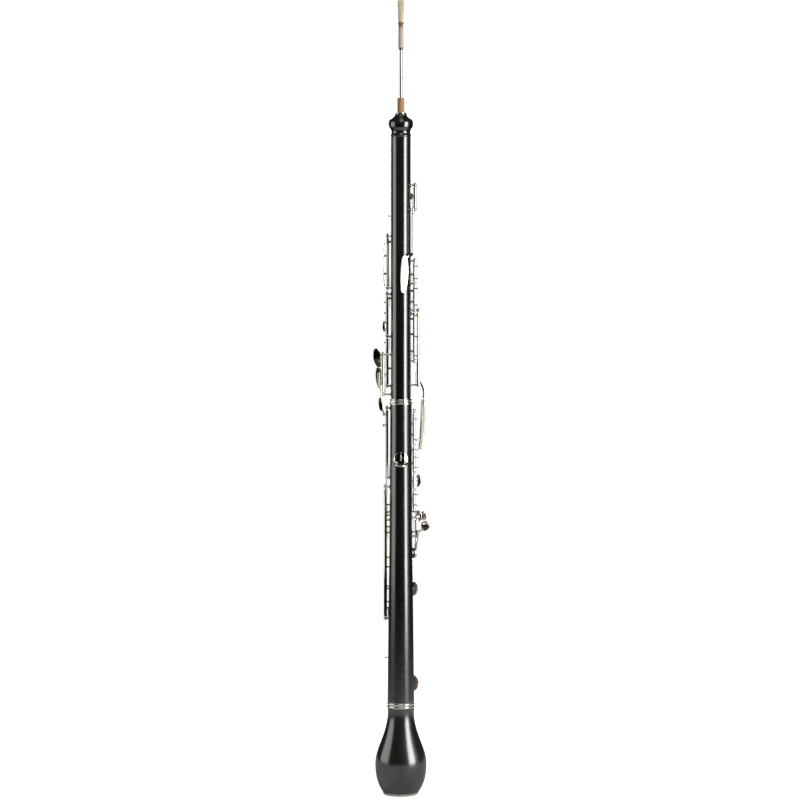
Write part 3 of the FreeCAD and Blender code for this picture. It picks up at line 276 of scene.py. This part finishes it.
class Axis:
    """The line through a long round node: its low end, its direction and its length."""

    def __init__(self, node):
        mesh = NODES[node].data
        flat = numpy.empty(len(mesh.vertices) * 3)
        mesh.vertices.foreach_get("co", flat)
        points = flat.reshape(-1, 3)
        middle = (points.min(axis=0) + points.max(axis=0)) / 2
        spread, ways = numpy.linalg.eigh(numpy.cov((points - middle).T))
        way = ways[:, int(numpy.argmax(spread))]
        way = way if way[2] > 0 else -way
        along = (points - middle) @ way
        self.way = Vector(way)
        self.low = Vector(middle) + self.way * float(along.min())
        self.length = float(along.max() - along.min())
        self.turn = self.way.to_track_quat("Z", "Y").to_matrix().to_4x4()

    def matrix(self):
        """Places a mesh made up +Z from the origin on this line, with its foot at the low end."""
        return Matrix.Translation(self.low) @ self.turn


def islands(node):
    """The separate solids of a node, each as a list of its vertices' places."""
    made = bmesh.new()
    made.from_mesh(NODES[node].data)
    bmesh.ops.remove_doubles(made, verts=made.verts, dist=1e-7)
    left = set(made.verts)
    found = []
    while left:
        queue = [left.pop()]
        group = list(queue)
        while queue:
            for edge in queue.pop().link_edges:
                for vert in edge.verts:
                    if vert in left:
                        left.discard(vert)
                        queue.append(vert)
                        group.append(vert)
        found.append([vert.co.copy() for vert in group])
    made.free()
    return found


# ---- pieces -------------------------------------------------------------------------------------
def add_piece(name, made, key, body, replaces=None, place=None, sharp=40):
    """Turns a bmesh into a piece with its material, riding on its body."""
    bmesh.ops.recalc_face_normals(made, faces=made.faces)
    mesh = bpy.data.meshes.new(name)
    made.to_mesh(mesh)
    made.free()
    if place is not None:
        mesh.transform(place)
    for polygon in mesh.polygons:
        polygon.use_smooth = True
    obj = bpy.data.objects.new(name, mesh)
    bpy.context.scene.collection.objects.link(obj)
    obj.data.materials.append(MATS[key])
    edges = obj.modifiers.new("edges", "EDGE_SPLIT")
    edges.split_angle = math.radians(sharp)
    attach(obj, body)
    if replaces:
        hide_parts(replaces)
    return obj


def rings_to_faces(made, rings, closed=True):
    """Skin between rings of vertices. A ring of one vertex is a tip."""
    for low, high in zip(rings, rings[1:]):
        count = max(len(low), len(high))
        last = count if closed else count - 1
        for i in range(last):
            j = (i + 1) % count
            corners = [low[i % len(low)], low[j % len(low)], high[j % len(high)], high[i % len(high)]]
            unique = list(dict.fromkeys(corners))
            if len(unique) > 2:
                made.faces.new(unique)


def lathe(made, outline, segments=48, wobble=None):
    """Turns (radius, height) points round Z. wobble moves each point by a function of its place."""
    rings = []
    for radius, height in outline:
        if radius < 1e-9:
            rings.append([made.verts.new((0, 0, height))])
            continue
        ring = []
        for i in range(segments):
            a = 2 * math.pi * i / segments
            r = radius + (wobble(a, height) if wobble else 0.0)
            ring.append(made.verts.new((r * math.cos(a), r * math.sin(a), height)))
        rings.append(ring)
    rings_to_faces(made, rings)


def tube(made, path, radius, sides=8):
    """Round tube along a list of points, with closed ends. Its rings turn with the path."""
    rings = []
    normal = None
    for i, point in enumerate(path):
        ahead = path[min(i + 1, len(path) - 1)] - path[max(i - 1, 0)]
        ahead.normalize()
        if normal is None:
            normal = ahead.orthogonal().normalized()
        normal = (normal - ahead * normal.dot(ahead)).normalized()
        across = ahead.cross(normal)
        ring = []
        for k in range(sides):
            a = 2 * math.pi * k / sides
            out = normal * (radius * math.cos(a)) + across * (radius * math.sin(a))
            ring.append(made.verts.new(point + out))
        rings.append(ring)
    first = [made.verts.new(path[0])]
    last = [made.verts.new(path[-1])]
    rings_to_faces(made, [first] + rings + [last])


# ---- reed ---------------------------------------------------------------------------------------
THREAD_PITCH = 0.30 * MM
THREAD_SIDES = 6
THREAD_STEPS = 22         # points in one turn of the winding
THREAD_R = THREAD_PITCH * 0.56
WINDING_R = 2.92 * MM     # outside of the winding at its foot
SLEEVE_INNER_R = 2.3 * MM
SLEEVE_GAP = 0.05 * MM
SLEEVE_ROWS = 20
KNOT_POINTS = 40


def reed_winding():
    """Waxed silk wound in close turns over the cane and the staple, ending in a small knot."""
    line = Axis("reed_thread")
    made = bmesh.new()

    def sleeve_r(share):
        ends = min(1.0, share / 0.05)
        return WINDING_R - THREAD_R - (1 - ends) * 0.22 * MM - share * 0.12 * MM

    top = line.length - SLEEVE_GAP
    outline = [(SLEEVE_INNER_R, SLEEVE_GAP)]
    for i in range(SLEEVE_ROWS + 1):
        outline.append((sleeve_r(i / SLEEVE_ROWS), SLEEVE_GAP + (top - SLEEVE_GAP) * i / SLEEVE_ROWS))
    outline.append((SLEEVE_INNER_R, top))
    lathe(made, outline, 40)
    turns = int((line.length - 2 * THREAD_R) / THREAD_PITCH)
    path = []
    for i in range(turns * THREAD_STEPS + 1):
        share = i / (turns * THREAD_STEPS)
        a = 2 * math.pi * i / THREAD_STEPS
        uneven = 0.012 * MM * noise.noise(Vector((share * 190, 3.1, 0.4)))
        radius = sleeve_r(share) + THREAD_R * 0.45 + uneven
        height = THREAD_R + (line.length - 2 * THREAD_R) * share
        path.append(Vector((radius * math.cos(a), radius * math.sin(a), height)))
    tube(made, path, THREAD_R, THREAD_SIDES)
    knot = []
    for i in range(KNOT_POINTS):
        a = 2 * math.pi * i / (KNOT_POINTS - 1)
        knot.append(Vector((2.75 * MM + 0.34 * MM * math.cos(2 * a), 0.40 * MM * math.sin(3 * a),
                            0.8 * MM + 0.42 * MM * math.sin(2 * a))))
    tube(made, knot, THREAD_R * 0.8, THREAD_SIDES)
    return add_piece("reed_winding", made, "thread", ROOT, "reed_thread", line.matrix(), 60)


BLADE_SECTIONS = [
    # share of the blade's length, then half width, half thickness outside and wall in millimetres
    (0.00, 2.72, 2.52, 0.55),
    (0.10, 2.80, 2.40, 0.52),
    (0.28, 2.96, 2.14, 0.48),
    (0.45, 3.20, 1.78, 0.40),
    (0.62, 3.42, 1.38, 0.32),
    (0.80, 3.60, 1.00, 0.24),
    (0.93, 3.71, 0.74, 0.15),
    (1.00, 3.74, 0.55, 0.08),
]
BLADE_SCRAPE = 0.26       # share of the length where the bark ends and the scrape begins
SCRAPE_STEP = 0.05        # how much lower the scraped cane lies than the bark, in millimetres
BLADE_ROWS = 56
BLADE_COLUMNS = 22
BLADE_FLAT = 0.05         # millimetres from the reed's middle plane to each blade's edge


def blade_at(share):
    """Half width, half thickness and wall at a share of the blade's length, between the sections."""
    for a, b in zip(BLADE_SECTIONS, BLADE_SECTIONS[1:]):
        if share <= b[0]:
            t = (share - a[0]) / (b[0] - a[0])
            t = t * t * (3 - 2 * t) * 0.35 + t * 0.65
            return [x + (y - x) * t for x, y in zip(a[1:], b[1:])]
    return list(BLADE_SECTIONS[-1][1:])


def reed_blade(made, side, length, flat):
    """One cane blade: a gouged half round that is scraped thin towards its tip."""
    rows, columns = BLADE_ROWS, BLADE_COLUMNS
    outside = []
    inside = []
    for i in range(rows + 1):
        share = i / rows
        wide, thick, wall = blade_at(share)
        step = SCRAPE_STEP * min(1.0, max(0.0, (share - BLADE_SCRAPE) * 30))
        height = share * length
        out_row = []
        in_row = []
        for j in range(columns + 1):
            a = math.pi * j / columns
            bulge = math.sin(a)
            grain = 0.008 * noise.noise(Vector((math.cos(a) * 9, height / MM * 0.25, side * 3.0)))
            corner = 0.35 * max(0.0, share - 0.985) / 0.015 * abs(math.cos(a)) ** 8
            x = (wide - step * 0.3) * math.cos(a)
            y = side * (flat + (thick - flat - step + grain) * bulge)
            z = height - corner * MM
            out_row.append(made.verts.new((x * MM, y * MM, z)))
            inner_x = (wide - wall * 0.9) * math.cos(a)
            inner_y = side * (flat * 0.6 + max(0.02, thick - flat - wall) * bulge)
            in_row.append(made.verts.new((inner_x * MM, inner_y * MM, z)))
        outside.append(out_row)
        inside.append(in_row)
    for i in range(rows):
        for j in range(columns):
            out_near, out_far = outside[i], outside[i + 1]
            in_near, in_far = inside[i], inside[i + 1]
            made.faces.new([out_near[j], out_near[j + 1], out_far[j + 1], out_far[j]])
            made.faces.new([in_near[j + 1], in_near[j], in_far[j], in_far[j + 1]])
        for j in (0, columns):
            made.faces.new([outside[i][j], outside[i + 1][j], inside[i + 1][j], inside[i][j]])
    for row in (0, rows):
        for j in range(columns):
            made.faces.new([outside[row][j + 1], outside[row][j], inside[row][j], inside[row][j + 1]])


def reed():
    """The two blades on the staple's line, above the winding."""
    winding = Axis("reed_thread")
    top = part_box("reed_blades")[1].z
    foot = winding.low + winding.way * (winding.length + 0.05 * MM)
    length = (top - foot.z) / winding.way.z - 0.25 * MM
    made = bmesh.new()
    for side in (-1, 1):
        reed_blade(made, side, length, BLADE_FLAT)
    place = Matrix.Translation(foot) @ winding.turn
    return add_piece("reed_cane", made, "cane", ROOT, "reed_blades", place, 50)


WIRE_TURNS = 3
WIRE_STEPS = 40           # points in one turn of the wire
WIRE_R = 0.21 * MM
WIRE_PITCH = 0.46 * MM
WIRE_FOOT = 3.35 * MM     # above the winding's top
WIRE_OVAL = (3.06 * MM, 2.72 * MM)
TWIST_START = Vector((3.10 * MM, 0, 3.7 * MM))
TWIST_POINTS = 19


def reed_binding_wire():
    """Brass wire drawn three times round the cane, with its ends twisted together."""
    winding = Axis("reed_thread")
    made = bmesh.new()
    path = []
    for i in range(WIRE_TURNS * WIRE_STEPS + 1):
        a = 2 * math.pi * i / WIRE_STEPS
        height = WIRE_FOOT + i / WIRE_STEPS * WIRE_PITCH
        path.append(Vector((WIRE_OVAL[0] * math.cos(a), WIRE_OVAL[1] * math.sin(a), height)))
    tube(made, path, WIRE_R, 8)
    for phase in (0.0, math.pi):
        twist = []
        for i in range(TWIST_POINTS):
            a = phase + i * 0.9
            x = 0.12 * MM * math.cos(a)
            y = 0.10 * MM + i * 0.085 * MM
            z = 0.12 * MM * math.sin(a) + i * 0.045 * MM
            twist.append(TWIST_START + Vector((x, y, z)))
        tube(made, twist, WIRE_R * 0.8, 6)
    top = winding.low + winding.way * winding.length
    place = Matrix.Translation(top) @ winding.turn
    return add_piece("reed_binding_wire", made, "brass", ROOT, "reed_wire", place, 60)


# ---- cork on the crook --------------------------------------------------------------------------
CORK_WALL = 1.5 * MM
CORK_ROWS = 90
CORK_SEAM_ANGLE = 4.2     # radians round the sleeve
CORK_SEAT = 0.53          # share of the sleeve's height below which it has been pressed into its socket


def crook_cork():
    """Cork sleeve, turned down at both ends, with pits, a glued seam and a foot crushed by its socket."""
    low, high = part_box("bocal_cork")
    full = (high.x - low.x) / 2
    length = high.z - low.z
    hole = full - CORK_WALL

    def wobble(a, height):
        place = Vector((math.cos(a) * 7, math.sin(a) * 7, height / MM * 1.3))
        pit = max(0.0, noise.noise(place * 1.4) - 0.38) * -0.35 * MM
        seam = -0.10 * MM * math.exp(-((a - CORK_SEAM_ANGLE - height * 6) / 0.035) ** 2)
        return pit + seam + 0.02 * MM * noise.noise(place * 0.4) - 0.02 * MM

    outline = [(hole, 0.0)]
    for i in range(CORK_ROWS + 1):
        height = length * (i / CORK_ROWS)
        foot_bevel = max(0.0, 1 - height / (1.5 * MM)) * 0.4 * MM
        top_bevel = max(0.0, 1 - (length - height) / (0.8 * MM)) * 0.5 * MM
        bevel = foot_bevel + top_bevel
        crushed = 0.10 * MM / (1 + math.exp((height - length * CORK_SEAT) / (0.4 * MM)))
        outline.append((full - bevel - crushed, height))
    outline.append((hole, length))
    made = bmesh.new()
    lathe(made, outline, 96, wobble)
    centre = Vector(((low.x + high.x) / 2, (low.y + high.y) / 2, low.z))
    place = Matrix.Translation(centre)
    return add_piece("crook_cork_sleeve", made, "cork", ROOT, "bocal_cork", place, 50)


# ---- pads --------------------------------------------------------------------------------------
PAD_SEAT = 0.66           # radius of the ring the tone hole presses, as a share of the pad's
PAD_SEAT_DEPTH = 0.10 * MM
PAD_FOLDS = 23            # small pleats round the side


def pad_mesh(made, radius, thick, place, turn):
    """One pad: skin drawn over felt, with the ring its tone hole has pressed into it."""
    seat = radius * PAD_SEAT
    pressed = PAD_SEAT_DEPTH + 0.05 * MM
    outline = [
        (0.0, 0.05 * MM),
        (seat * 0.5, 0.03 * MM),
        (seat - 0.5 * MM, 0.05 * MM),
        (seat - 0.2 * MM, pressed),
        (seat + 0.1 * MM, pressed),
        (seat + 0.4 * MM, 0.02 * MM),
        (radius - 0.75 * MM, 0.0),
        (radius - 0.3 * MM, 0.10 * MM),
        (radius - 0.08 * MM, 0.34 * MM),
        (radius - 0.01 * MM, 0.75 * MM),
        (radius - 0.01 * MM, thick - 0.25 * MM),
        (radius - 0.25 * MM, thick),
        (0.0, thick),
    ]
    before = set(made.verts)
    pucker = random.uniform(0, 6.28)

    def wobble(a, height):
        fold = max(0.0, math.sin(a * PAD_FOLDS + pucker)) ** 3
        return -0.03 * MM * fold if height > 0.3 * MM else 0.0

    lathe(made, outline, 64, wobble)
    new = [vert for vert in made.verts if vert not in before]
    bmesh.ops.transform(made, matrix=place @ Matrix.Rotation(turn, 4, "Z"), verts=new)


def pads(node, body):
    """Detailed pads in the places of a node's plain ones."""
    made = bmesh.new()
    for k, points in enumerate(islands(node)):
        cloud = numpy.array([tuple(p) for p in points])
        middle = (cloud.min(axis=0) + cloud.max(axis=0)) / 2
        spread, ways = numpy.linalg.eigh(numpy.cov((cloud - cloud.mean(axis=0)).T))
        way = Vector(ways[:, int(numpy.argmin(spread))])
        outwards = Vector((middle[0], middle[1], 0))
        way = way if way.dot(outwards) > 0 else -way
        along = cloud @ numpy.array(way)
        thick = float(along.max() - along.min())
        from_middle = cloud - middle
        across = from_middle - numpy.outer(from_middle @ numpy.array(way), numpy.array(way))
        radius = float(numpy.linalg.norm(across, axis=1).max())
        half_way = float((along.max() + along.min()) / 2)
        centre = Vector(middle) + way * (half_way - Vector(middle).dot(way))
        turn = way.to_track_quat("Z", "Y").to_matrix().to_4x4()
        place = Matrix.Translation(centre - way * (thick / 2)) @ turn
        pad_mesh(made, radius, thick, place, k * 1.3)
    return add_piece(node + "_skinned", made, "pad", body, node, None, 60)


def build_pieces():
    reed_winding()
    reed()
    reed_binding_wire()
    crook_cork()
    for body, nodes in frame["record"]["behaviour"]["bodies"].items():
        for node in nodes:
            if node.endswith("_pads"):
                pads(node, body)


build_pieces()

METAL_EDGE_ANGLE = 32     # degrees, past which an edge of a carried-over part is drawn sharp
for obj in NODES.values():
    for polygon in obj.data.polygons:
        polygon.use_smooth = True
    edges = obj.modifiers.new("edges", "EDGE_SPLIT")
    edges.split_angle = math.radians(METAL_EDGE_ANGLE)


# ---- stage, light, camera --------------------------------------------------------------------
FLOOR_HALF = 9.0
TABLE_R = 0.55            # how far the white table top reaches before it starts to fade
TABLE_FADE = 0.75


def white_floor():
    """Plain white floor. It looks white all over, but gives less to reflections further out."""
    corners = [(x * FLOOR_HALF, y * FLOOR_HALF, 0) for x, y in ((-1, -1), (1, -1), (1, 1), (-1, 1))]
    mesh = bpy.data.meshes.new("floor")
    mesh.from_pydata(corners, [], [(0, 1, 2, 3)])
    obj = bpy.data.objects.new("floor", mesh)
    bpy.context.scene.collection.objects.link(obj)
    m = Mat("floor_white", (0.8, 0.8, 0.8), roughness=0.8, Specular_IOR_Level=0.0)
    where = m.node("TexCoord")
    away = m.node("VectorMath", operation="LENGTH")
    m.link(where.outputs["Object"], away.inputs[0])
    fade = m.node("MapRange", From_Min=TABLE_R, From_Max=TABLE_R + TABLE_FADE,
                  To_Min=0.0, To_Max=1.0)
    m.link(away.outputs["Value"], fade.inputs["Value"])
    m.to("Base Color", m.ramp(fade.outputs["Result"], [(0.0, 0.75), (0.5, 0.18), (1.0, 0.012)]))
    seen = m.node("LightPath")
    m.set("Emission Color", (1, 1, 1, 1))
    m.link(seen.outputs["Is Camera Ray"], m.shader.inputs["Emission Strength"])
    obj.data.materials.append(m.material)


white_floor()


BOX_LOW = 0.01            # the upright softboxes stand on the floor
BOX_HIGH = 1.25
UPRIGHT_BOXES = [
    # name, degrees right of the camera, distance, width, radiance, tint
    ("key_box", 53, 1.4, 0.70, 6.4, (1, 1, 1)),
    ("key_edge", 77, 1.5, 0.40, 0.45, (1, 1, 1)),
    ("fill_box", -82, 1.7, 1.4, 1.5, (0.95, 1.0, 0.96)),
    ("back_box", 180, 1.7, 0.95, 5.0, (1, 1, 1)),
]


def softbox(name, azimuth, distance, wide, low, high, radiance, tint=(1, 1, 1)):
    """Softbox facing the object, azimuth degrees right of the camera, of an even radiance."""
    a = math.radians(azimuth)
    data = bpy.data.lights.new(name, "AREA")
    data.shape = "RECTANGLE"
    data.size = wide
    data.size_y = high - low
    data.energy = radiance * math.pi * wide * (high - low)
    data.color = tint
    obj = bpy.data.objects.new(name, data)
    obj.location = (math.sin(a) * distance, -math.cos(a) * distance, (low + high) / 2)
    facing = Vector((-math.sin(a), math.cos(a), 0))
    obj.rotation_euler = facing.to_track_quat("-Z", "Y").to_euler()
    bpy.context.scene.collection.objects.link(obj)
    return obj


for name, azimuth, distance, wide, radiance, tint in UPRIGHT_BOXES:
    softbox(name, azimuth, distance, wide, BOX_LOW, BOX_HIGH, radiance, tint)
overhead = softbox("overhead", 0, 0.7, 1.6, 2.4, 4.0, 1.0)
overhead.rotation_euler = (math.radians(-12), 0, 0)
front_top = softbox("front_top", 8, 1.6, 1.1, 1.5, 2.5, 0.9)
front_top.rotation_euler.x -= math.radians(42)

ROOM_GLOW = 0.05          # what the dark room gives to reflections and shade
PAPER = 1.05              # how bright the paper behind the object looks


def studio_world():
    """White paper behind the object where it is looked at, and a dark room for what it reflects."""
    world = bpy.data.worlds.new("studio")
    world.use_nodes = True
    nodes = world.node_tree.nodes
    links = world.node_tree.links
    paper = nodes["Background"]
    paper.inputs["Color"].default_value = (1, 1, 1, 1)
    paper.inputs["Strength"].default_value = PAPER
    room = nodes.new("ShaderNodeBackground")
    room.inputs["Color"].default_value = (1.0, 0.84, 0.62, 1)
    room.inputs["Strength"].default_value = ROOM_GLOW
    seen = nodes.new("ShaderNodeLightPath")
    mixed = nodes.new("ShaderNodeMixShader")
    links.new(seen.outputs["Is Camera Ray"], mixed.inputs["Fac"])
    links.new(room.outputs["Background"], mixed.inputs[1])
    links.new(paper.outputs["Background"], mixed.inputs[2])
    links.new(mixed.outputs["Shader"], nodes["World Output"].inputs["Surface"])
    bpy.context.scene.world = world


studio_world()
bpy.context.scene.view_settings.view_transform = "Standard"

CAMERA_AT = (-0.001, -3.4927, 0.7723)
CAMERA_TILT = 85.0        # degrees from straight down, so it looks 5 degrees down

camera_data = bpy.data.cameras.new("camera")
camera_data.lens = 135.0
camera_data.sensor_width = 36.0
camera_data.clip_end = 60.0
camera = bpy.data.objects.new("camera", camera_data)
camera.location = CAMERA_AT
camera.rotation_euler = (math.radians(CAMERA_TILT), 0, 0)
bpy.context.scene.collection.objects.link(camera)
bpy.context.scene.camera = camera
